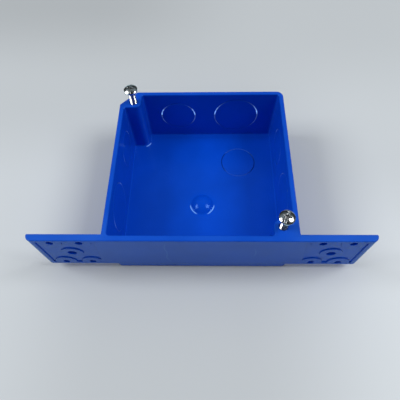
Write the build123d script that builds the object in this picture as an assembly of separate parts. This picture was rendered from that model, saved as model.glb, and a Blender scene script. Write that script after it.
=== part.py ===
from build123d import *
import math
import os

os.makedirs("parts", exist_ok=True)

# Square two-gang wiring box, one plastic moulding with a nailing bracket along its front side.
# It lies on its back with the mouth up: +X runs along the bracket, +Y from the bracket to the
# rear wall, +Z out of the mouth. The origin is under the middle, on the surface it lies on.
# All lengths are in millimetres.

# Housing, square at its rim and drafted inwards towards its floor
box_size = 101.6
cavity_depth = 38.1
floor_thickness = 2.6
side_wall = 2.7
bracket_wall = 3.2
draft_angle = 1.05

# Edges and corners of the housing
rear_corner_radius = 4.0
front_corner_radius = 3.0
cut_corner_leg = 10.0
cavity_corner_radius = 1.6
rim_edge_bevel = 0.35
base_edge_bevel = 0.9
floor_edge_radius = 0.6

# Nailing bracket, flush with the rim and with the front of the housing
bracket_height = 33.6
wing_length = 38.8
wing_thickness = 3.9
wing_front_radius = 3.2
wing_back_radius = 0.5
wing_root_radius = 0.5

# Shallow field sunk into each wing's front, with a round boss left standing about every nail hole
field_depth = 0.5
field_top_inner_margin = 3.5
field_foot_inner_margin = 6.4
field_outer_margin = 4.6
field_edge_margin = 2.4
nail_boss_diameter = 12.2
nail_hole_diameter = 3.8
middle_hole_diameter = 5.0
nail_inner_column = 11.5
nail_column_spacing = 15.3
nail_row_margin = 3.2

# Screw pillars in the rear left and the front right corner
screw_margin = 8.3
pillar_reach_x = 4.7
pillar_reach_y = 4.3
pillar_edge_radius = 4.0
pilot_clearance = 0.05
pilot_spare_depth = 2.6
pilot_mouth_bevel = 0.4

# Cover screw with a low round head that takes a flat or a cross driver
thread_diameter = 4.17
screw_length = 25.4
head_diameter = 8.1
head_height = 2.5
head_rim_height = 1.1
crown_steps = 3
slot_width = 1.2
slot_depth = 1.1
cross_span = 4.6
cross_foot_span = 1.4
cross_width = 1.2
cross_depth = 1.8
screw_stand_out = 9.5
rear_slot_angle = 85
front_slot_angle = 64

# Knockouts: discs held by a thin web between a groove inside and a groove outside
small_knockout = 22.2
large_knockout = 28.2
knockout_depth = 18.8
inner_groove_width = 0.5
inner_groove_depth = 0.35
outer_groove_width = 0.9
knockout_web = 0.9

# Places of the knockouts, measured along each wall from the middle of the housing
rear_small_place = -15.9
rear_large_place = 22.4
left_small_place = 20.5
left_large_place = -21.5
right_small_place = 21.5
right_large_place = -15.0
floor_small_place = (24.3, 23.2)

# Dome in the floor over the moulding gate, hollow underneath so that the gate stub stays clear
dome_place = (0.2, -9.5)
dome_radius = 7.0
dome_height = 2.8
dome_foot_radius = 1.2
dimple_mouth_radius = 7.2
dimple_roof_radius = 3.2
gate_stub_diameter = 3.0
gate_stub_height = 0.9

# Levels and places that follow from the sizes above
box_height = cavity_depth + floor_thickness
half_box = box_size / 2
front_face = -half_box
screw_offset = half_box - screw_margin
draft_slope = math.tan(math.radians(draft_angle))
pillar_x = screw_offset - pillar_reach_x
pillar_y = screw_offset - pillar_reach_y
wing_mid_drop = bracket_height / 2
nail_row_reach = wing_mid_drop - nail_row_margin
nail_middle_column = nail_inner_column + nail_column_spacing / 2
screw_places = {"rear": (-screw_offset, screw_offset), "front": (screw_offset, -screw_offset)}

# How far a tool reaches past the face that it cuts
overcut = 1.0
groove_overcut = 0.1


def housing_outline():
    """Square at the rim, with the corner beside the rear pillar cut off."""
    outline = Rectangle(box_size, box_size)
    beside_pillar = [v for v in outline.vertices() if v.X < 0 < v.Y]
    return chamfer(beside_pillar, cut_corner_leg)


def cavity_outline():
    """The mouth of the cavity: a square with the two screw pillars taken out of its corners."""
    rear = half_box - side_wall
    front = bracket_wall - half_box
    outline = Pos(0, (rear + front) / 2) * Rectangle(2 * rear, rear - front)
    for turn in (1, -1):
        corner = Pos(-turn * (pillar_x + half_box / 2), turn * (pillar_y + half_box / 2))
        outline -= corner * Rectangle(half_box, half_box)
    return outline


def drafted_block(outline, depth):
    """A block that starts at the rim plane with the given outline and narrows downwards."""
    rim_plane = Plane(origin=(0, 0, box_height), z_dir=(0, 0, 1))
    block = extrude(rim_plane * outline, amount=-depth)
    sides = [face for face in block.faces() if abs(face.normal_at().Z) < 0.5]
    return draft(sides, rim_plane, -draft_angle)


def corner_edges(block, wanted):
    """The upright edges of a drafted block whose place at the rim passes the test wanted(x, y)."""
    upright = [e for e in block.edges() if abs(e.tangent_at(0.5).Z) > 0.9]
    tops = [(e, e.vertices().sort_by(Axis.Z)[-1]) for e in upright]
    return [e for e, top in tops if wanted(top.X, top.Y)]


def lowest_edges(block):
    """The edges round the underside of a block."""
    return block.faces().sort_by(Axis.Z)[0].edges()


def housing_block():
    """The outside of the housing: drafted, its corners rounded, its underside eased."""
    block = drafted_block(housing_outline(), box_height)
    square = half_box - cut_corner_leg / 2
    block = fillet(corner_edges(block, lambda x, y: min(x, y) > square), rear_corner_radius)
    block = fillet(corner_edges(block, lambda x, y: abs(x) > square > -square > y), front_corner_radius)
    return chamfer(lowest_edges(block), base_edge_bevel)


def cavity_block():
    """The space inside: drafted like the outside, with eased corners and rounded pillars."""
    block = drafted_block(cavity_outline(), cavity_depth)

    def on_pillar_edge(x, y):
        return abs(abs(x) - pillar_x) < 0.01 and abs(abs(y) - pillar_y) < 0.01

    block = fillet(corner_edges(block, on_pillar_edge), pillar_edge_radius)
    sharp = corner_edges(block, lambda x, y: max(abs(x), abs(y)) > half_box - bracket_wall - 0.01)
    block = fillet(sharp, cavity_corner_radius)
    return fillet(lowest_edges(block), floor_edge_radius)


def bracket():
    """The flat bar that carries both wings, its upper edge level with the rim."""
    length = box_size + 2 * wing_length
    bar = Box(length, wing_thickness, bracket_height)
    ends = bar.edges().filter_by(Axis.Z).sort_by(Axis.Y)
    bar = fillet(ends[:2], wing_front_radius)
    ends = bar.edges().filter_by(Axis.Z).sort_by(Axis.Y)
    bar = fillet(ends[-2:], wing_back_radius)
    middle = (0, front_face + wing_thickness / 2, box_height - wing_mid_drop)
    return Pos(*middle) * bar


def nail_places(side):
    """Each nail hole of one wing, as its place (x, height) about the middle of the bracket and
    its diameter."""
    columns = [side * (half_box + nail_inner_column + turn * nail_column_spacing) for turn in (0, 1)]
    corners = [(x, row * nail_row_reach) for x in columns for row in (-1, 1)]
    middle = (side * (half_box + nail_middle_column), 0)
    return [(place, nail_hole_diameter) for place in corners] + [(middle, middle_hole_diameter)]


def wing_plane():
    """The front face of the bracket, seen from the front, with its origin at mid height."""
    origin = (0, front_face, box_height - wing_mid_drop)
    return Plane(origin=origin, x_dir=(1, 0, 0), z_dir=(0, -1, 0))


def nailing_field(side):
    """The space sunk into the wing's front: a slanted field with the round bosses left out."""
    top = wing_mid_drop - field_edge_margin
    outer = side * (half_box + wing_length - field_outer_margin)
    field = Polygon(
        (side * (half_box + field_top_inner_margin), top),
        (side * (half_box + field_foot_inner_margin), -top),
        (outer, -top),
        (outer, top),
        align=None,
    )
    for place, _ in nail_places(side):
        field -= Pos(*place) * Circle(nail_boss_diameter / 2)
    floor_plane = wing_plane().offset(-field_depth)
    return extrude(floor_plane * field, amount=field_depth + overcut, dir=floor_plane.z_dir)


def nail_holes(side):
    """The round holes through one wing."""
    holes = Sketch() + [Pos(*place) * Circle(size / 2) for place, size in nail_places(side)]
    drill = wing_plane().offset(-wing_thickness - overcut)
    return extrude(drill * holes, amount=wing_thickness + 2 * overcut)


def ring_groove(face, diameter, width, depth):
    """A round groove of V section cut into a flat face."""
    radius = diameter / 2
    flare = width / 2 * (depth + groove_overcut) / depth
    section = Polygon(
        (radius - flare, groove_overcut),
        (radius + flare, groove_overcut),
        (radius, -depth),
        align=None,
    )
    return face * revolve(Plane.XZ * section, Axis.Z)


def groove_pair(inner_face, outer_face, diameter, wall):
    """A shallow groove inside and a deeper one outside, with the web between them."""
    outer_depth = wall - inner_groove_depth - knockout_web
    inside = ring_groove(inner_face, diameter, inner_groove_width, inner_groove_depth)
    outside = ring_groove(outer_face, diameter, outer_groove_width, outer_depth)
    return [inside, outside]


def wall_face(heading, place, outside):
    """The inner or outer face of a side wall at a knockout's middle, leaning with the draft."""
    direction = Vector(1, 0, 0).rotate(Axis.Z, heading)
    along = Vector(0, 1, 0) if abs(direction.X) > 0.5 else Vector(1, 0, 0)
    reach = half_box - knockout_depth * draft_slope - (0 if outside else side_wall)
    origin = direction * reach + along * place + Vector(0, 0, box_height - knockout_depth)
    lean = math.radians(draft_angle)
    outward = direction * math.cos(lean) - Vector(0, 0, math.sin(lean))
    return Plane(origin=origin, x_dir=along, z_dir=outward if outside else -outward)


def wall_knockout(heading, place, diameter):
    """The pair of grooves that frees one disc in a side wall."""
    faces = (wall_face(heading, place, False), wall_face(heading, place, True))
    return groove_pair(*faces, diameter, side_wall)


def floor_knockout(place, diameter):
    """The pair of grooves that frees one disc in the floor."""
    top = Plane(origin=(*place, floor_thickness), z_dir=(0, 0, 1))
    bottom = Plane(origin=(*place, 0), z_dir=(0, 0, -1))
    return groove_pair(top, bottom, diameter, floor_thickness)


def knockout_grooves():
    """Every knockout of the box: pairs in the rear, left and right walls and one in the floor."""
    walls = [
        (90, rear_small_place, small_knockout),
        (90, rear_large_place, large_knockout),
        (180, left_small_place, small_knockout),
        (180, left_large_place, large_knockout),
        (0, right_small_place, small_knockout),
        (0, right_large_place, large_knockout),
    ]
    grooves = [groove for row in walls for groove in wall_knockout(*row)]
    return grooves + floor_knockout(floor_small_place, small_knockout)


def cap_solid(radius, height, foot_radius):
    """A low round cap on the XY plane, with a hollow curve where it meets that plane."""
    sphere_radius = (radius**2 + height**2) / (2 * height)
    reach = radius + 2 * foot_radius
    half = math.sqrt(sphere_radius**2 - (sphere_radius - height / 2) ** 2)
    crown = ThreePointArc((0, height), (half, height / 2), (radius, 0))
    lines = [
        crown,
        Line((radius, 0), (reach, 0)),
        Line((reach, 0), (reach, -overcut)),
        Line((reach, -overcut), (0, -overcut)),
        Line((0, -overcut), (0, height)),
    ]
    section = make_face(lines)
    foot = [v for v in section.vertices() if abs(v.X - radius) < 1e-4 and abs(v.Y) < 1e-4]
    section = fillet(foot, foot_radius)
    return revolve(Plane.XZ * section, Axis.Z)


def gate_dimple():
    """The hollow under the dome, as deep as the dome is high, and the stub left in it."""
    hollow = Pos(0, 0, dome_height / 2) * Cone(dimple_mouth_radius, dimple_roof_radius, dome_height)
    stub_low = dome_height - gate_stub_height
    stub = Pos(0, 0, stub_low + dome_height / 2) * Cylinder(gate_stub_diameter / 2, dome_height)
    return hollow - stub


def pilot_hole(place):
    """The blind hole of one pillar: the screw's thread runs in it, its mouth slightly bevelled."""
    radius = thread_diameter / 2 + pilot_clearance
    depth = screw_length + pilot_spare_depth
    bore = Pos(0, 0, (overcut - depth) / 2) * Cylinder(radius, depth + overcut)
    mouth_radius = radius + pilot_mouth_bevel
    mouth = Pos(0, 0, -pilot_mouth_bevel / 2) * Cone(radius, mouth_radius, pilot_mouth_bevel)
    return Pos(*place, box_height) * (bore + mouth)


def rim_face(solid):
    """The flat face of the rim, the highest one of the moulding."""
    return solid.faces().filter_by(Axis.Z).sort_by(Axis.Z)[-1]


def wing_roots(solid):
    """The two inside corners where the backs of the wings meet the housing."""
    back_of_wings = front_face + wing_thickness
    return [
        e for e in solid.edges().filter_by(GeomType.LINE)
        if abs(e.center().Y - back_of_wings) < 0.01
        and abs(abs(e.center().X) - half_box) < 1.0
        and e.length > bracket_height / 2
    ]


def housing_shell():
    """The housing fused with its bracket and hollowed, with a bevel along its rim."""
    shell = housing_block() + bracket()
    shell = fillet(wing_roots(shell), wing_root_radius)
    shell = chamfer(rim_face(shell).outer_wire().edges(), rim_edge_bevel)
    shell -= cavity_block()
    return chamfer(rim_face(shell).inner_wires()[0].edges(), rim_edge_bevel)


def box_body():
    """The whole moulding."""
    body = housing_shell()
    dome = cap_solid(dome_radius, dome_height, dome_foot_radius)
    body += Pos(*dome_place, floor_thickness) * dome
    body -= Pos(*dome_place, 0) * gate_dimple()
    for side in (-1, 1):
        body -= nailing_field(side)
        body -= nail_holes(side)
    for groove in knockout_grooves():
        body -= groove
    for place in screw_places.values():
        body -= pilot_hole(place)
    return body


def driver_recess():
    """The slot and the cross in the top of a head, the cross narrowing to a blunt foot."""
    slot_height = slot_depth + overcut
    slot = Pos(0, 0, overcut - slot_height / 2) * Box(head_diameter + overcut, slot_width, slot_height)
    half_span, half_foot = cross_span / 2, cross_foot_span / 2
    wedge = Polygon(
        (-half_span, overcut),
        (half_span, overcut),
        (half_span, 0),
        (half_foot, -cross_depth),
        (-half_foot, -cross_depth),
        (-half_span, 0),
        align=None,
    )
    arm = extrude(Plane.XZ * wedge, amount=cross_width / 2, both=True)
    return slot + arm + Rot(0, 0, 90) * arm


def head_blank():
    """A round head before its recess is cut, its crown turned in a few flat steps."""
    radius = head_diameter / 2
    rise = head_height - head_rim_height
    crown_radius = (radius**2 + rise**2) / (2 * rise)
    full_turn = math.asin(radius / crown_radius)
    turns = [full_turn * step / crown_steps for step in range(crown_steps, 0, -1)]
    crown = [
        (crown_radius * math.sin(turn), head_height - crown_radius * (1 - math.cos(turn)))
        for turn in turns
    ]
    flat_top = (0, crown[-1][1])
    section = Polygon((0, 0), (radius, 0), *crown, flat_top, align=None)
    return revolve(Plane.XZ * section, Axis.Z)


def cover_screw(slot_angle):
    """One machine screw, its head's underside on the XY plane and its shank pointing down."""
    head = head_blank() - Pos(0, 0, head_height) * Rot(0, 0, slot_angle) * driver_recess()
    shank = Pos(0, 0, -screw_length / 2) * Cylinder(thread_diameter / 2, screw_length)
    return head + shank


def placed_screw(name, slot_angle):
    """A screw standing out of its pillar by the stated length."""
    return Pos(*screw_places[name], box_height + screw_stand_out) * cover_screw(slot_angle)


export_step(box_body(), "parts/box_body.step")
export_step(placed_screw("rear", rear_slot_angle), "parts/cover_screw_rear.step")
export_step(placed_screw("front", front_slot_angle), "parts/cover_screw_front.step")
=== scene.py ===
"""A moulded two-gang electrical box with a nailing bracket and two cover screws, on a pale table.

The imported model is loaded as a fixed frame. Its moulding stays and gets its plastic here, and
each cover screw is replaced by one with a cut thread and a driver recess. Lengths are in metres.
"""
import math

import bpy
import numpy as np
from bpy.props import FloatProperty, FloatVectorProperty, PointerProperty
from mathutils import Matrix, Vector


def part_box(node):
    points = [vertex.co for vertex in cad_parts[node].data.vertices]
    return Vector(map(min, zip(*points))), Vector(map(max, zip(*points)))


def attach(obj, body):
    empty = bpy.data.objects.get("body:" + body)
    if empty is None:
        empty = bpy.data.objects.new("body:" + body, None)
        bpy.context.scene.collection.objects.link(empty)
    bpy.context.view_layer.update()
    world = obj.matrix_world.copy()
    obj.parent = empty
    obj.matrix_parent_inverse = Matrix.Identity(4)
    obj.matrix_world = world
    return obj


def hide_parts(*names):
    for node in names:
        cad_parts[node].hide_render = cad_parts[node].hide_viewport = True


bl_info = {
    "name": "Two-Gang Electrical Box",
    "version": (1, 0, 0),
    "blender": (4, 5, 0),
    "location": "3D View > Sidebar > Electrical Box",
    "description": "Dresses a moulded wiring box and makes its two cover screws",
    "category": "Object",
}

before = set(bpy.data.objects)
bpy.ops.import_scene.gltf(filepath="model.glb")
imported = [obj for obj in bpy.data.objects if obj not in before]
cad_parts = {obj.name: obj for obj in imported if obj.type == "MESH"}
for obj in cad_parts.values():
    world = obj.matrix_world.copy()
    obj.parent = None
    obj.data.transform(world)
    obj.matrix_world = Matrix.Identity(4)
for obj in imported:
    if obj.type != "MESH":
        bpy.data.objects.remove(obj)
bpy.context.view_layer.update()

SCREWS = {
    "rear": ("cover_screw_rear", "rear_screw"),
    "front": ("cover_screw_front", "front_screw"),
}

# Levels of the moulding, and how far its inner walls are from the middle
RIM_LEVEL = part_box("box_body")[1].z
FRONT_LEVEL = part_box("box_body")[0].y
CAVITY_DEPTH = 0.0381
FLOOR_LEVEL = RIM_LEVEL - CAVITY_DEPTH
INNER_WALL = 0.0492

# Knockouts in the walls: the wall, the place along it, the radius of the ring and how strongly
# its painted highlights show
KNOCKOUT_DEPTH = 0.0188
SMALL_RING = 0.0111
LARGE_RING = 0.0141
WALL_RINGS = (
    ("rear", -0.0159, SMALL_RING, 1.0),
    ("rear", 0.0224, LARGE_RING, 0.8),
    ("left", 0.0205, SMALL_RING, 0.12),
    ("left", -0.0215, LARGE_RING, 0.16),
    ("right", 0.0215, SMALL_RING, 0.14),
    ("right", -0.015, LARGE_RING, 0.16),
)

# Middles of what is round on the floor, as (x, y): the knockout, the dome and the rounded edge of
# the rear pillar. The last two have the radius of their foot.
FLOOR_KNOCKOUT = (0.0243, 0.0232)
DOME = (0.0002, -0.0095)
DOME_FOOT = 0.0076
PILLAR_EDGE = (-0.0411, 0.0415)
PILLAR_FOOT = 0.005

# Painted highlights along the flow lines on the front of the bracket: x, and how far below the
# rim each starts and ends
FLOW_LINES = ((-0.0189, 0.005, 0.033), (0.029, 0.012, 0.021))


def length(name, description, default, low=0.0, high=1.0):
    """A size that a user may change, shown in the scene's length unit."""
    return FloatProperty(
        name=name, description=description, default=default, min=low, max=high,
        unit="LENGTH", precision=5,
    )


def share(name, description, default, high=1.0):
    """A plain number from nought to high."""
    return FloatProperty(name=name, description=description, default=default, min=0.0, max=high)


def turn(name, description, degrees):
    """An angle, given here in degrees."""
    return FloatProperty(
        name=name, description=description, default=math.radians(degrees), unit="ROTATION",
    )


def tint(name, description, default):
    """A linear colour."""
    return FloatVectorProperty(
        name=name, description=description, default=default, size=3, min=0.0, max=1.0,
        subtype="COLOR",
    )


class MouldingSettings(bpy.types.PropertyGroup):
    """The blue plastic of the box."""

    colour: tint("Plastic", "Colour of the plastic", (0.001, 0.066, 0.58))
    # Rubbed edges, scuffs, dust and the painted highlights along the flow lines take this colour
    scuff_and_highlight_colour: tint("Scuffs", "Colour that a rubbed edge or a scuff takes", (0.06, 0.21, 0.64))
    # Colour of the painted highlights at the knockouts and round the feet of the dome and the rear
    # pillar
    painted_highlight_colour: tint("Stress", "Colour of the stretched web of a knockout", (0.20, 0.55, 1.0))
    # Painted glow on those same highlights
    painted_glow: tint("Web Glow", "Light that comes through the stretched web", (0.20, 0.38, 0.68))
    gloss_roughness: share("Roughness", "Roughness of the clean moulded skin", 0.12)
    sheen_tint: tint("Sheen", "Tint that the skin gives to what it mirrors", (0.2, 0.5, 1.0))
    edge_radius: length("Edge Radius", "Radius that softens every moulded edge", 0.00035)
    skin_height: length("Skin", "Height of the slight waves in the moulded skin", 0.00004)


class ScrewSettings(bpy.types.PropertyGroup):
    """The cover screws: number 8, 32 threads to the inch, with a round head."""

    pitch: length("Pitch", "Distance from one thread crest to the next", 0.00079375)
    thread_depth: length("Thread Depth", "Depth from crest to root", 0.00048)
    thread_diameter: length("Thread Diameter", "Diameter over the thread", 0.00417)
    shank_length: length("Shank Length", "From the underside of the head to the tip", 0.0254)
    rim_height: length("Head Edge", "Height of the upright edge of the head", 0.0011)
    slot_width: length("Slot Width", "Width of the straight slot", 0.0012)
    slot_depth: length("Slot Depth", "Depth of the straight slot", 0.0011)
    cross_width: length("Cross Width", "Width of the arms of the cross", 0.0012)
    cross_span: length("Cross Span", "Width of the cross at the top", 0.0046)
    cross_foot: length("Cross Foot", "Width of the cross at its foot", 0.0014)
    cross_depth: length("Cross Depth", "Depth of the cross at its middle", 0.0018)
    rear_slot_turn: turn("Rear Slot", "Direction of the rear screw's slot, from +X", 85.0)
    front_slot_turn: turn("Front Slot", "Direction of the front screw's slot, from +X", 64.0)
    colour: tint("Plating", "Colour of the bright plating", (0.78, 0.79, 0.80))
    # Grime in the recess and thread, which also stands in for the shade there
    grime_and_shade_colour: tint("Grime", "Colour of the dull film in recess and thread", (0.20, 0.20, 0.20))
    plating_roughness: share("Roughness", "Roughness of the plating", 0.16)


class StageSettings(bpy.types.PropertyGroup):
    """Table, lamps and camera."""

    table_colour: tint("Table", "Colour of the table", (0.537, 0.575, 0.603))
    mirrored_colour: tint("Mirrored Table", "Table as glossy surfaces see it", (0.38, 0.54, 0.58))
    lamp_distance: length("Lamp Distance", "Distance of the lamps from the box", 1.2, high=5.0)
    lamp_width: length("Lamp Width", "Width of each lamp", 0.5, high=5.0)
    left_lamp_rise: turn("Left Lamp", "How high the left lamp stands above the horizon", 45.0)
    right_lamp_rise: turn("Right Lamp", "How high the right lamp stands above the horizon", 52.0)
    lamp_strength: share("Lamp Strength", "Power of each lamp in watts", 6.5, high=1000.0)
    sky_strength: share("Sky Strength", "Strength of the even light from overhead", 0.40, high=10.0)
    horizon_share: share("Horizon", "Light from the horizon, as a share of the sky's", 0.4)
    rear_share: share("Rear", "How much of the sky's light leans towards the rear", 0.45)
    ceiling_colour: tint("Ceiling", "Colour that glossy surfaces see overhead", (0.15, 0.19, 0.21))
    focal_length: share("Focal Length", "Focal length for a 36 mm wide sensor", 33.74, high=300.0)


class Shade:
    """One output socket of a material, with the operators that shader maths is written in."""

    def __init__(self, tree, socket):
        self.tree = tree
        self.socket = socket

    def made(self, kind, settings, inputs, output=0):
        """A node of that kind: its settings first, then its sockets' numbers, colours or links."""
        node = self.tree.nodes.new(kind)
        for key, value in settings.items():
            setattr(node, key, value)
        for key, value in inputs.items():
            if isinstance(value, Shade):
                self.tree.links.new(value.socket, node.inputs[key])
            else:
                node.inputs[key].default_value = value
        return Shade(self.tree, node.outputs[output])

    def maths(self, operation, *values):
        """A Math node with that operation on one or two values."""
        return self.made("ShaderNodeMath", {"operation": operation}, dict(enumerate(values)))

    def mixed(self, factor, first, second):
        """The first colour where the factor is 0, the second where it is 1."""
        inputs = {0: factor, 6: first, 7: second}
        return self.made("ShaderNodeMix", {"data_type": "RGBA"}, inputs, output=2)

    def __add__(self, other):
        return self.maths("ADD", self, other)

    __radd__ = __add__

    def __sub__(self, other):
        return self.maths("SUBTRACT", self, other)

    def __rsub__(self, other):
        return self.maths("SUBTRACT", other, self)

    def __mul__(self, other):
        return self.maths("MULTIPLY", self, other)

    __rmul__ = __mul__

    def __truediv__(self, other):
        return self.maths("DIVIDE", self, other)

    def __abs__(self):
        return self.maths("ABSOLUTE", self)

    def away(self, other):
        """How far the point with these two coordinates is from nought."""
        return self.maths("SQRT", self * self + other * other)

    def rises(self, low, high):
        """0 below low, 1 above high, and a smooth curve between them."""
        return self.made(
            "ShaderNodeMapRange", {"interpolation_type": "SMOOTHSTEP"},
            {"Value": self, "From Min": low, "From Max": high},
        )

    def falls(self, low, high):
        """1 below low, 0 above high, and a smooth curve between them."""
        return 1.0 - self.rises(low, high)

    def toward(self, other, factor):
        """This colour mixed with another colour."""
        return self.mixed(factor, self, other)


class Finish:
    """A new material with one Principled shader, and helpers that read Object coordinates."""

    def __init__(self, name):
        self.material = bpy.data.materials.new(name)
        self.material.use_nodes = True
        self.tree = self.material.node_tree
        self.shader = self.tree.nodes["Principled BSDF"]
        self.start = Shade(self.tree, None)
        self.place = self.start.made("ShaderNodeTexCoord", {}, {}, output="Object")

    def axes(self):
        """The three object coordinates as separate values."""
        return [
            self.start.made("ShaderNodeSeparateXYZ", {}, {"Vector": self.place}, output=n)
            for n in range(3)
        ]

    def noise(self, scale, detail=2.0, stretch=(1.0, 1.0, 1.0), roughness=0.5):
        """Soft noise from 0 to 1, with scale in cells to the metre along each stretched axis."""
        where = self.start.made(
            "ShaderNodeMapping", {}, {"Vector": self.place, "Scale": stretch}
        )
        return self.start.made(
            "ShaderNodeTexNoise", {},
            {"Vector": where, "Scale": scale, "Detail": detail, "Roughness": roughness},
        )

    def specks(self, scale):
        """The distance to the nearest of many scattered points, scale of them to the metre."""
        return self.start.made(
            "ShaderNodeTexVoronoi", {}, {"Vector": self.place, "Scale": scale}, output="Distance"
        )

    def bump(self, height, distance, normal=None):
        """A normal bent by a height from 0 to 1 that stands for so many metres."""
        inputs = {"Height": height, "Distance": distance, "Strength": 1.0}
        if normal is not None:
            inputs["Normal"] = normal
        return self.start.made("ShaderNodeBump", {}, inputs)

    def joined(self, **sockets):
        """Numbers go straight on the shader's sockets, and varying values are linked to them."""
        for name, value in sockets.items():
            socket = self.shader.inputs[name.replace("_", " ")]
            if isinstance(value, Shade):
                self.tree.links.new(value.socket, socket)
            else:
                socket.default_value = value
        return self.material


def rgba(colour, factor=1.0):
    """A colour for a socket, made darker or lighter by a factor and never above 1."""
    return (*(min(1.0, part * factor) for part in colour), 1.0)


def moulded_plastic(settings):
    """Glossy blue moulded plastic: slightly wavy skin, rubbed edges, faint scuffs and dust, and
    painted highlights, painted shade and a painted glow.
    """
    f = Finish("moulded_blue_plastic")
    x, y, z = f.axes()
    softened, edge = soft_edges(f, settings.edge_radius)
    broad = f.noise(38.0)
    fine = f.noise(1900.0, detail=3.0)
    on_rim = z.rises(RIM_LEVEL - 0.0004, RIM_LEVEL - 0.0001)
    on_front = y.falls(FRONT_LEVEL + 0.0001, FRONT_LEVEL + 0.0003)
    on_floor = z.falls(FLOOR_LEVEL + 0.0002, FLOOR_LEVEL + 0.0008)
    by_floor = z.falls(FLOOR_LEVEL + 0.0006, FLOOR_LEVEL + 0.0012)

    # Painted shade darkens the floor's knockout at both sides of its ring, and a painted highlight
    # pales it in front and behind
    ring, turned = ring_line(x - FLOOR_KNOCKOUT[0], y - FLOOR_KNOCKOUT[1], SMALL_RING)
    shadow = ring * on_floor * turned.falls(0.5, 0.8)
    low_highlights = foot_highlights(x, y) + ring * turned.rises(0.6, 0.9) * 0.03
    # Painted highlights at the knockouts in the walls, and low down at the floor's round things
    painted_highlights = knockout_highlights(f, x, y, z) + low_highlights * by_floor

    # The rim is paler in patches, and most at the front towards the wings
    front_rim_paling = y.falls(-0.047, -0.030) * (abs(x).rises(0.042, 0.056) * 0.13 + 0.02)
    wear_and_highlights = skin_wear_and_highlights(f, edge, broad, on_front) + on_front * 0.02 + on_rim * (broad * 0.12 + front_rim_paling)

    blue = settings.colour
    base = f.start.mixed(broad.rises(0.3, 0.7), rgba(blue, 0.94), rgba(blue, 1.05))
    # Painted shade: the bracket's front is darkened, and the rim a little
    base = base.toward(rgba(blue, 0.5), on_rim * 0.12 + on_front * 0.16)
    base = base.toward(rgba(settings.scuff_and_highlight_colour), wear_and_highlights)
    base = base.toward(rgba(blue, 0.4), shadow * 0.8)
    # Painted highlights are mixed into the colour, and the same marks give a painted glow
    base = base.toward(rgba(settings.painted_highlight_colour), painted_highlights)
    glow = f.start.mixed(painted_highlights, rgba((0.0, 0.0, 0.0)), rgba(settings.painted_glow))

    # The floor is duller than the dome and the walls
    from_dome = (x - DOME[0]).away(y - DOME[1])
    on_dome = from_dome.falls(DOME_FOOT + 0.0002, DOME_FOOT + 0.0012)
    on_dome = on_dome * z.falls(FLOOR_LEVEL + 0.004, FLOOR_LEVEL + 0.005)
    off_dome = from_dome.rises(DOME_FOOT + 0.0009, DOME_FOOT + 0.0019)
    rough = broad * 0.04 + fine * 0.03 + (settings.gloss_roughness - 0.05) + wear_and_highlights * 0.25
    rough = rough + on_floor * off_dome * 0.16 + on_dome * 0.03
    return f.joined(
        Base_Color=base, Roughness=rough, Normal=moulded_skin(f, settings, fine, softened),
        IOR=1.5, Specular_IOR_Level=0.4, Specular_Tint=rgba(settings.sheen_tint),
        Emission_Color=glow, Emission_Strength=1.0,
    )


def soft_edges(f, radius):
    """The normal with all edges softened to that radius, and a mask of the edges, which are where
    the softened normal turns away from the face's own."""
    softened = f.start.made("ShaderNodeBevel", {"samples": 6}, {"Radius": radius}, output="Normal")
    face = f.start.made("ShaderNodeNewGeometry", {}, {}, output="Normal")
    agreement = f.start.made(
        "ShaderNodeVectorMath", {"operation": "DOT_PRODUCT"}, {0: softened, 1: face}, output="Value"
    )
    return softened, agreement.falls(0.80, 0.995)


def moulded_skin(f, settings, fine, softened):
    """The normal of the skin: slight waves, upright draw marks and a fine grain."""
    draw_marks = f.noise(420.0, stretch=(1.0, 1.0, 0.03))
    waves = f.noise(240.0, detail=1.0) * 0.7 + f.noise(900.0) * 0.2 + draw_marks * 0.25
    normal = f.bump(waves, settings.skin_height, softened)
    return f.bump(fine, settings.skin_height * 0.08, normal)


def skin_wear_and_highlights(f, edge, broad, on_front):
    """How much the skin is rubbed: patches along the edges, thin scratches, specks of dust and,
    on the bracket's front, painted highlights along two flow lines."""
    x, _, z = f.axes()
    rubbed = f.noise(420.0, detail=4.0).rises(0.48, 0.68)
    scratch_lines = f.noise(160.0, detail=1.0, stretch=(9.0, 0.6, 1.0), roughness=0.7)
    scratches = abs(scratch_lines - 0.5).falls(0.0, 0.006) * broad.rises(0.5, 0.7)
    dust = f.specks(260.0).falls(0.03, 0.07) * f.noise(70.0).rises(0.58, 0.66)
    flow_highlights = sum(flow_line(f, x, z, *line) for line in FLOW_LINES)
    return edge * rubbed * 0.35 + scratches * 0.10 + dust * 0.35 + flow_highlights * on_front * 0.36


def flow_line(f, x, z, place, low, high):
    """A painted highlight along a faint upright line in the skin where two streams of plastic met.
    Its ends are measured below the rim, and it drifts aside with the square of its depth."""
    depth = RIM_LEVEL - z
    drift = depth * depth * 1.7
    bow = f.noise(90.0, detail=0.0, stretch=(0.0, 0.0, 1.0)) * 0.004 - 0.002
    line = abs(x - bow - drift - place).falls(0.00008, 0.0003)
    return line * depth.rises(low - 0.003, low + 0.003) * depth.falls(high - 0.004, high + 0.002)


def ring_line(across, rise, radius):
    """1 on a thin ring round the point where across and rise are nought, and 0 elsewhere. With it
    comes the size of rise as a share of the radius: 0 at the ring's sides, 1 at its two ends."""
    off = abs(across.away(rise) - radius)
    return off.falls(0.00015, 0.00045), abs(rise) / radius


def knockout_highlights(f, x, y, z):
    """The painted highlights of every knockout in the walls."""
    walls = {"rear": (y, x), "left": (0.0 - x, y), "right": (x, y)}
    rise = z - (RIM_LEVEL - KNOCKOUT_DEPTH)
    return sum(
        highlight_arcs(f, *walls[wall], rise, place, radius) * strength
        for wall, place, radius, strength in WALL_RINGS
    )


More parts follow.
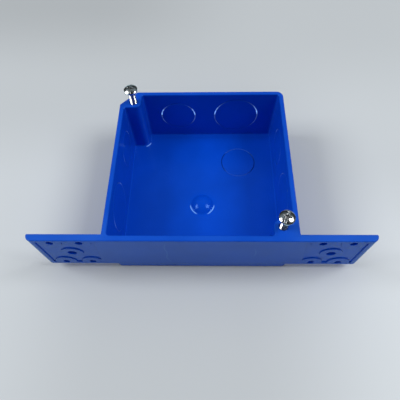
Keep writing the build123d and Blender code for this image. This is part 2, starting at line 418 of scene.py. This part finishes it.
def highlight_arcs(f, outward, along, rise, place, radius):
    """Painted highlights: pale arcs at both sides of a knockout's inner ring. They are strongest a
    little above the middle and die away towards the top and the foot."""
    ring, _ = ring_line(along - place, rise, radius)
    bearing = rise / radius
    arc = bearing.rises(-0.85, -0.3) * bearing.falls(0.6, 0.95) * 0.16
    bright = bearing.rises(0.02, 0.14) * bearing.falls(0.3, 0.7)
    patchy = f.noise(600.0, detail=1.0).rises(0.2, 0.6)
    on_wall = outward.falls(INNER_WALL, INNER_WALL + 0.0004) * outward.rises(0.044, 0.046)
    return ring * (arc + bright) * patchy * on_wall


def foot_highlights(x, y):
    """Painted highlights: pale arcs at the foot of the rear pillar's rounded edge and at both sides
    of the dome's.
    """
    across, back = x - PILLAR_EDGE[0], y - PILLAR_EDGE[1]
    pillar, _ = ring_line(across, back, PILLAR_FOOT)
    outer_side = across.rises(0.0011, 0.0023) * back.falls(-0.0025, -0.0013)
    across, back = x - DOME[0], y - DOME[1]
    dome, _ = ring_line(across, back, DOME_FOOT)
    both_sides = abs(across).rises(0.0028, 0.0045) * back.falls(-0.002, 0.0)
    return pillar * outer_side * 0.45 + dome * both_sides * 0.40


def bright_plating(settings):
    """Bright plated steel, mottled a little, with a dull film low in the recess and the thread that
    is partly grime and partly painted shade.
    """
    f = Finish("bright_plating")
    shelter = f.start.made("ShaderNodeAttribute", {"attribute_name": "shelter"}, {}, output="Fac")
    mottle = f.noise(900.0, detail=3.0)
    brushed = f.noise(5200.0, stretch=(1.0, 1.0, 0.25))
    # Grime and painted shade darken the plating where the recess and the thread are deepest
    grime_and_shade = shelter.rises(0.25, 1.0) * (mottle * 0.5 + 0.5)
    base = f.start.mixed(grime_and_shade * 0.75, rgba(settings.colour), rgba(settings.grime_and_shade_colour))
    rough = mottle * 0.10 + (settings.plating_roughness - 0.05) + grime_and_shade * 0.22
    normal = f.bump(mottle, 0.00001, f.bump(brushed, 0.000004))
    return f.joined(Base_Color=base, Roughness=rough, Metallic=1.0, Normal=normal)


def pale_table(settings):
    """A plain pale table top with the faintest mottling, a little cooler where it is mirrored. It
    has painted light to both sides, more so to the right, and painted shade towards the far left."""
    f = Finish("pale_table")
    x, y, _ = f.axes()
    grey = settings.table_colour
    base = f.start.mixed(f.noise(5.0, detail=3.0), rgba(grey, 0.98), rgba(grey, 1.01))
    # Painted light: paler to the right and a little to the near left
    painted_light_right = x.rises(0.02, 0.12) * (y.falls(-0.06, 0.03) * 0.65 + y.falls(0.06, 0.16) * 0.35)
    painted_light_left = x.falls(-0.12, -0.05) * y.falls(0.0, 0.08) * 0.45
    base = base.toward(rgba(grey, 1.28), painted_light_right + painted_light_left)
    # Painted shade: darker towards the far left
    base = base.toward(rgba(grey, 0.82), y.rises(0.10, 0.20) * x.falls(-0.10, 0.06))
    mirrored = f.start.made("ShaderNodeLightPath", {}, {}, output="Is Glossy Ray")
    base = base.toward(rgba(settings.mirrored_colour), mirrored)
    normal = f.bump(f.noise(1500.0), 0.00001)
    return f.joined(Base_Color=base, Roughness=0.6, Normal=normal, Specular_IOR_Level=0.0)


def smooth_step(low, high, value):
    """3 t^2 - 2 t^3, where t runs from 0 at low to 1 at high."""
    t = np.clip((value - low) / (high - low), 0.0, 1.0)
    return t * t * (3.0 - 2.0 * t)


def ring_faces(rings, around):
    """Quads between neighbouring rings of points, closed all the way round."""
    i = np.arange(rings - 1)[:, None] * around
    j = np.arange(around)[None, :]
    k = (j + 1) % around
    quads = np.stack([i + j, i + k, i + around + k, i + around + j], axis=-1)
    return quads.reshape(-1, 4)


def pole_faces(pole, first, around, upward):
    """Triangles that close the ring starting at first with one point at its middle."""
    j = np.arange(around)
    k = (j + 1) % around
    ring = (first + j, first + k) if upward else (first + k, first + j)
    return np.stack([ring[0], ring[1], np.full(around, pole)], axis=-1)


def closed_turning(radius, height, angle):
    """A closed surface round the Z axis: ring i has radius[i, j] and height[i, j] at angle[j],
    the first ring is closed downwards and the last one upwards, each with a point at its middle."""
    rings, around = radius.shape
    points = np.stack(
        [radius * np.cos(angle), radius * np.sin(angle), height], axis=-1
    ).reshape(-1, 3)
    poles = np.array([[0.0, 0.0, height[0].mean()], [0.0, 0.0, height[-1].mean()]])
    faces = ring_faces(rings, around).tolist()
    faces += pole_faces(rings * around, 0, around, False).tolist()
    faces += pole_faces(rings * around + 1, (rings - 1) * around, around, True).tolist()
    return np.vstack([points, poles]), faces


def head_surface(s, radius, height, slot_turn):
    """The head. Its crown is part of a sphere: z = height - R (1 - cos a). The recess lowers it
    inside a slot, where |across| < width / 2, and inside a cross whose floor sinks in a straight
    line from the end of each arm to its foot. Returns points, faces and how sheltered each is.
    innermost is the last ring's share of the radius, ease the bevel of the upright edge, wall half
    the width over which a recess wall drops, and blend the depth at which an arm is fully wide."""
    around, crown_rings, side_rings = 180, 78, 4
    innermost, ease, wall, blend = 0.012, 0.00018, 0.00005, 0.0002
    angle = np.linspace(0.0, 2.0 * np.pi, around, endpoint=False)[None, :]
    ones = np.ones_like(angle)
    rise = height - s.rim_height
    crown_radius = (radius**2 + rise**2) / (2.0 * rise)

    out = radius * np.linspace(1.0, innermost, crown_rings)[:, None] * ones
    crown = height - crown_radius + np.sqrt(crown_radius**2 - out**2)
    along = out * np.cos(angle - slot_turn)
    across = out * np.sin(angle - slot_turn)

    in_slot = smooth_step(s.slot_width / 2 + wall, s.slot_width / 2 - wall, abs(across))
    slot_floor = np.minimum(crown, height - s.slot_depth)
    top = crown + in_slot * (slot_floor - crown)
    fall = 2.0 * s.cross_depth / (s.cross_span - s.cross_foot)
    for far, side in ((along, across), (across, along)):
        sunk = np.clip((s.cross_span / 2 - abs(far)) * fall, 0.0, s.cross_depth)
        arm_floor = np.minimum(top, height - sunk)
        in_arm = smooth_step(s.cross_width / 2 + wall, s.cross_width / 2 - wall, abs(side))
        top = top + in_arm * smooth_step(0.0, blend, sunk) * (arm_floor - top)
    shelter = np.clip((crown - top) / s.cross_depth, 0.0, 1.0)

    under = np.array([
        (0.3 * radius, 0.0), (0.9 * radius, 0.0), (radius - ease, 0.0), (radius, ease),
    ])
    side = np.linspace(ease, s.rim_height - ease, side_rings + 1)[1:, None]
    notch = np.minimum(top[0] - (s.rim_height - ease), 0.0)
    side_height = side + notch * smooth_step(0.0, 1.0, side / s.rim_height)
    radii = np.vstack([under[:, :1] * ones, np.full_like(side, radius) * ones, out])
    heights = np.vstack([under[:, 1:] * ones, side_height, top])
    points, faces = closed_turning(radii, heights, angle)
    under_shelter = np.full((len(under), around), 0.5)
    shade = np.vstack([under_shelter, np.zeros((side_rings, around)), shelter])
    return points, faces, np.append(shade.ravel(), [0.5, 1.0])


def shank_surface(s, radius, shank_length):
    """The threaded shank. At height z and angle a the turn number is z / pitch - a / (2 pi), and
    its fraction gives the tooth: a flat crest, two straight flanks and a narrow flat root, with
    crest and flank as shares of half the pitch. The thread fades out under the head over one turn
    that starts at run_out turns, and the end is cut to a short cone."""
    around, rings_per_turn = 56, 14
    crest, flank, run_out = 0.14, 0.66, 0.3
    overlap, tip_bevel, tip_radius = 0.0002, 0.00075, 0.0003
    angle = np.linspace(0.0, 2.0 * np.pi, around, endpoint=False)[None, :]
    rings = int(shank_length / s.pitch * rings_per_turn)
    height = np.linspace(-shank_length, overlap, rings)[:, None] * np.ones_like(angle)
    turns = height / s.pitch - angle / (2.0 * np.pi)
    from_crest = 2.0 * abs(turns - np.round(turns))
    root = np.clip((from_crest - crest) / flank, 0.0, 1.0)
    root = root * smooth_step(0.0, 1.0, -height / s.pitch - run_out)
    out = radius - s.thread_depth * root
    cone = radius - tip_bevel + (height + shank_length)
    out = np.minimum(out, np.maximum(cone, tip_radius))
    points, faces = closed_turning(out, height, angle)
    return points, faces, np.append((root * 0.8).ravel(), [0.5, 0.5])


def mesh_object(name, points, faces, shelter):
    """A smooth mesh with its shelter stored at each point, as an object at the origin."""
    mesh = bpy.data.meshes.new(name)
    mesh.from_pydata(points.tolist(), [], faces)
    mesh.attributes.new("shelter", "FLOAT", "POINT").data.foreach_set(
        "value", np.asarray(shelter, np.float32)
    )
    mesh.polygons.foreach_set("use_smooth", np.ones(len(mesh.polygons), bool))
    mesh.update()
    piece = bpy.data.objects.new(name, mesh)
    bpy.context.scene.collection.objects.link(piece)
    return piece


def cover_screw(s, name, node, body, slot_turn, finish):
    """One cover screw in the place of its CAD node, with the same head and shank sizes."""
    low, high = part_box(node)
    head_height = high.z - low.z - s.shank_length
    head, head_faces, head_shade = head_surface(s, (high.x - low.x) / 2, head_height, slot_turn)
    shank, shank_faces, shank_shade = shank_surface(s, s.thread_diameter / 2, s.shank_length)
    shifted = [[index + len(head) for index in face] for face in shank_faces]
    seat = np.array([(low.x + high.x) / 2, (low.y + high.y) / 2, low.z + s.shank_length])
    shelter = np.append(head_shade, shank_shade)
    piece = mesh_object(name, np.vstack([head, shank]) + seat, head_faces + shifted, shelter)
    piece.data.materials.append(finish)
    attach(piece, body)
    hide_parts(node)


class ELECTRICALBOX_OT_finish_moulding(bpy.types.Operator):
    """Give the moulding its blue plastic"""

    bl_idname = "electrical_box.finish_moulding"
    bl_label = "Finish Moulding"

    def execute(self, context):
        plastic = moulded_plastic(context.scene.electrical_box_moulding)
        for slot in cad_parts["box_body"].material_slots:
            slot.material = plastic
        return {"FINISHED"}


class ELECTRICALBOX_OT_add_cover_screws(bpy.types.Operator):
    """Make the two plated cover screws"""

    bl_idname = "electrical_box.add_cover_screws"
    bl_label = "Add Cover Screws"

    def execute(self, context):
        s = context.scene.electrical_box_screws
        plating = bright_plating(s)
        turns = {"rear": s.rear_slot_turn, "front": s.front_slot_turn}
        for place, (node, body) in SCREWS.items():
            cover_screw(s, place + "_cover_screw", node, body, turns[place], plating)
        return {"FINISHED"}


class ELECTRICALBOX_OT_set_stage(bpy.types.Operator):
    """Set the table, the lamps, the sky and the camera"""

    bl_idname = "electrical_box.set_stage"
    bl_label = "Set Stage"

    def execute(self, context):
        s = context.scene.electrical_box_stage
        add_table(s)
        add_lamp(s, -1.0, s.left_lamp_rise)
        add_lamp(s, 1.0, s.right_lamp_rise)
        add_sky(s)
        add_camera(s)
        context.scene.view_settings.view_transform = "Standard"
        return {"FINISHED"}


def add_table(s):
    """A round table top on Z = 0: rings of points whose radius grows by the same ratio."""
    around, rings, first_radius, table_radius = 64, 24, 0.05, 1.5
    angle = np.linspace(0.0, 2.0 * np.pi, around, endpoint=False)[None, :]
    out = np.geomspace(first_radius, table_radius, rings)[:, None]
    flat = np.zeros((rings, around))
    points = np.stack([out * np.cos(angle), out * np.sin(angle), flat], axis=-1).reshape(-1, 3)
    points = np.vstack([points, [[0.0, 0.0, 0.0]]])
    faces = [face[::-1] for face in ring_faces(rings, around).tolist()]
    faces += pole_faces(rings * around, 0, around, True).tolist()
    mesh = bpy.data.meshes.new("table_top")
    mesh.from_pydata(points.tolist(), [], faces)
    table = bpy.data.objects.new("table_top", mesh)
    bpy.context.scene.collection.objects.link(table)
    mesh.materials.append(pale_table(s))


def add_lamp(s, side, rise):
    """A soft square lamp to the left or right, at that angle above the horizon, facing the box."""
    lamp = bpy.data.lights.new("side_lamp", "AREA")
    lamp.shape = "SQUARE"
    lamp.size = s.lamp_width
    lamp.energy = s.lamp_strength
    direction = Vector((side * math.cos(rise), 0.0, math.sin(rise)))
    item = bpy.data.objects.new("side_lamp", lamp)
    item.location = direction * s.lamp_distance
    item.rotation_euler = direction.to_track_quat("Z", "Y").to_euler()
    bpy.context.scene.collection.objects.link(item)


def add_sky(s):
    """A soft even light, stronger overhead. The camera sees a pale backdrop, and glossy surfaces
    see a dark horizon that pales towards the ceiling."""
    world = bpy.data.worlds.new("soft_sky")
    bpy.context.scene.world = world
    world.use_nodes = True
    tree = world.node_tree
    start = Shade(tree, None)
    direction = start.made("ShaderNodeTexCoord", {}, {}, output="Generated")
    back, up = [
        start.made("ShaderNodeSeparateXYZ", {}, {"Vector": direction}, output=axis)
        for axis in ("Y", "Z")
    ]
    by_camera, mirrored, through = [
        start.made("ShaderNodeLightPath", {}, {}, output=kind)
        for kind in ("Is Camera Ray", "Is Glossy Ray", "Is Transmission Ray")
    ]
    direct = start.maths("MAXIMUM", by_camera, through)
    dim_ceiling = rgba(s.ceiling_colour, 0.12)
    backdrop = start.mixed(up.rises(-0.02, 0.04), rgba(s.table_colour), dim_ceiling)
    overhead = up.rises(0.35, 0.80) * back.rises(0.0, 0.40)
    backdrop = backdrop.toward(rgba(s.ceiling_colour), overhead)
    light = up.rises(0.0, 0.8) * (1.0 - s.horizon_share) + s.horizon_share
    light = light * (back * s.rear_share + 1.0) * s.sky_strength
    light = start.made("ShaderNodeCombineColor", {}, {"Red": light, "Green": light, "Blue": light})
    sky = light.toward(backdrop, mirrored).toward(rgba(s.table_colour), direct)
    tree.links.new(sky.socket, tree.nodes["Background"].inputs["Color"])


def add_camera(s):
    """The photograph's view: 61.3 degrees down, turned 2.8 degrees to the left and rolled 2.4."""
    down, yaw, roll = math.radians(61.32), 0.04824, -0.04205
    place = Vector((0.004338, -0.12276, 0.21567))
    turned = Matrix.Rotation(yaw, 3, "Z")
    ahead = turned @ Vector((0.0, math.cos(down), -math.sin(down)))
    above = turned @ Vector((0.0, math.sin(down), math.cos(down)))
    right = turned @ Vector((1.0, 0.0, 0.0))
    across = right * math.cos(roll) + above * math.sin(roll)
    upright = above * math.cos(roll) - right * math.sin(roll)
    data = bpy.data.cameras.new("camera")
    data.sensor_width = 36.0
    data.lens = s.focal_length
    data.clip_start = 0.01
    camera = bpy.data.objects.new("camera", data)
    pose = Matrix((across, upright, -ahead)).transposed().to_4x4()
    pose.translation = place
    camera.matrix_world = pose
    bpy.context.scene.collection.objects.link(camera)
    bpy.context.scene.camera = camera


class ELECTRICALBOX_PT_pieces(bpy.types.Panel):
    """The pieces of the electrical box"""

    bl_idname = "ELECTRICALBOX_PT_pieces"
    bl_label = "Electrical Box"
    bl_space_type = "VIEW_3D"
    bl_region_type = "UI"
    bl_category = "Electrical Box"

    def draw(self, context):
        for operator in OPERATORS:
            self.layout.operator(operator.bl_idname)


SETTINGS = {
    "electrical_box_moulding": MouldingSettings,
    "electrical_box_screws": ScrewSettings,
    "electrical_box_stage": StageSettings,
}
OPERATORS = (
    ELECTRICALBOX_OT_finish_moulding,
    ELECTRICALBOX_OT_add_cover_screws,
    ELECTRICALBOX_OT_set_stage,
)
CLASSES = (*SETTINGS.values(), *OPERATORS, ELECTRICALBOX_PT_pieces)


def register():
    for cls in CLASSES:
        bpy.utils.register_class(cls)
    for name, group in SETTINGS.items():
        setattr(bpy.types.Scene, name, PointerProperty(type=group))


def unregister():
    for name in SETTINGS:
        delattr(bpy.types.Scene, name)
    for cls in reversed(CLASSES):
        bpy.utils.unregister_class(cls)


def main():
    """Builds everything in order."""
    register()
    bpy.ops.electrical_box.finish_moulding()
    bpy.ops.electrical_box.add_cover_screws()
    bpy.ops.electrical_box.set_stage()


if __name__ == "__main__":
    main()
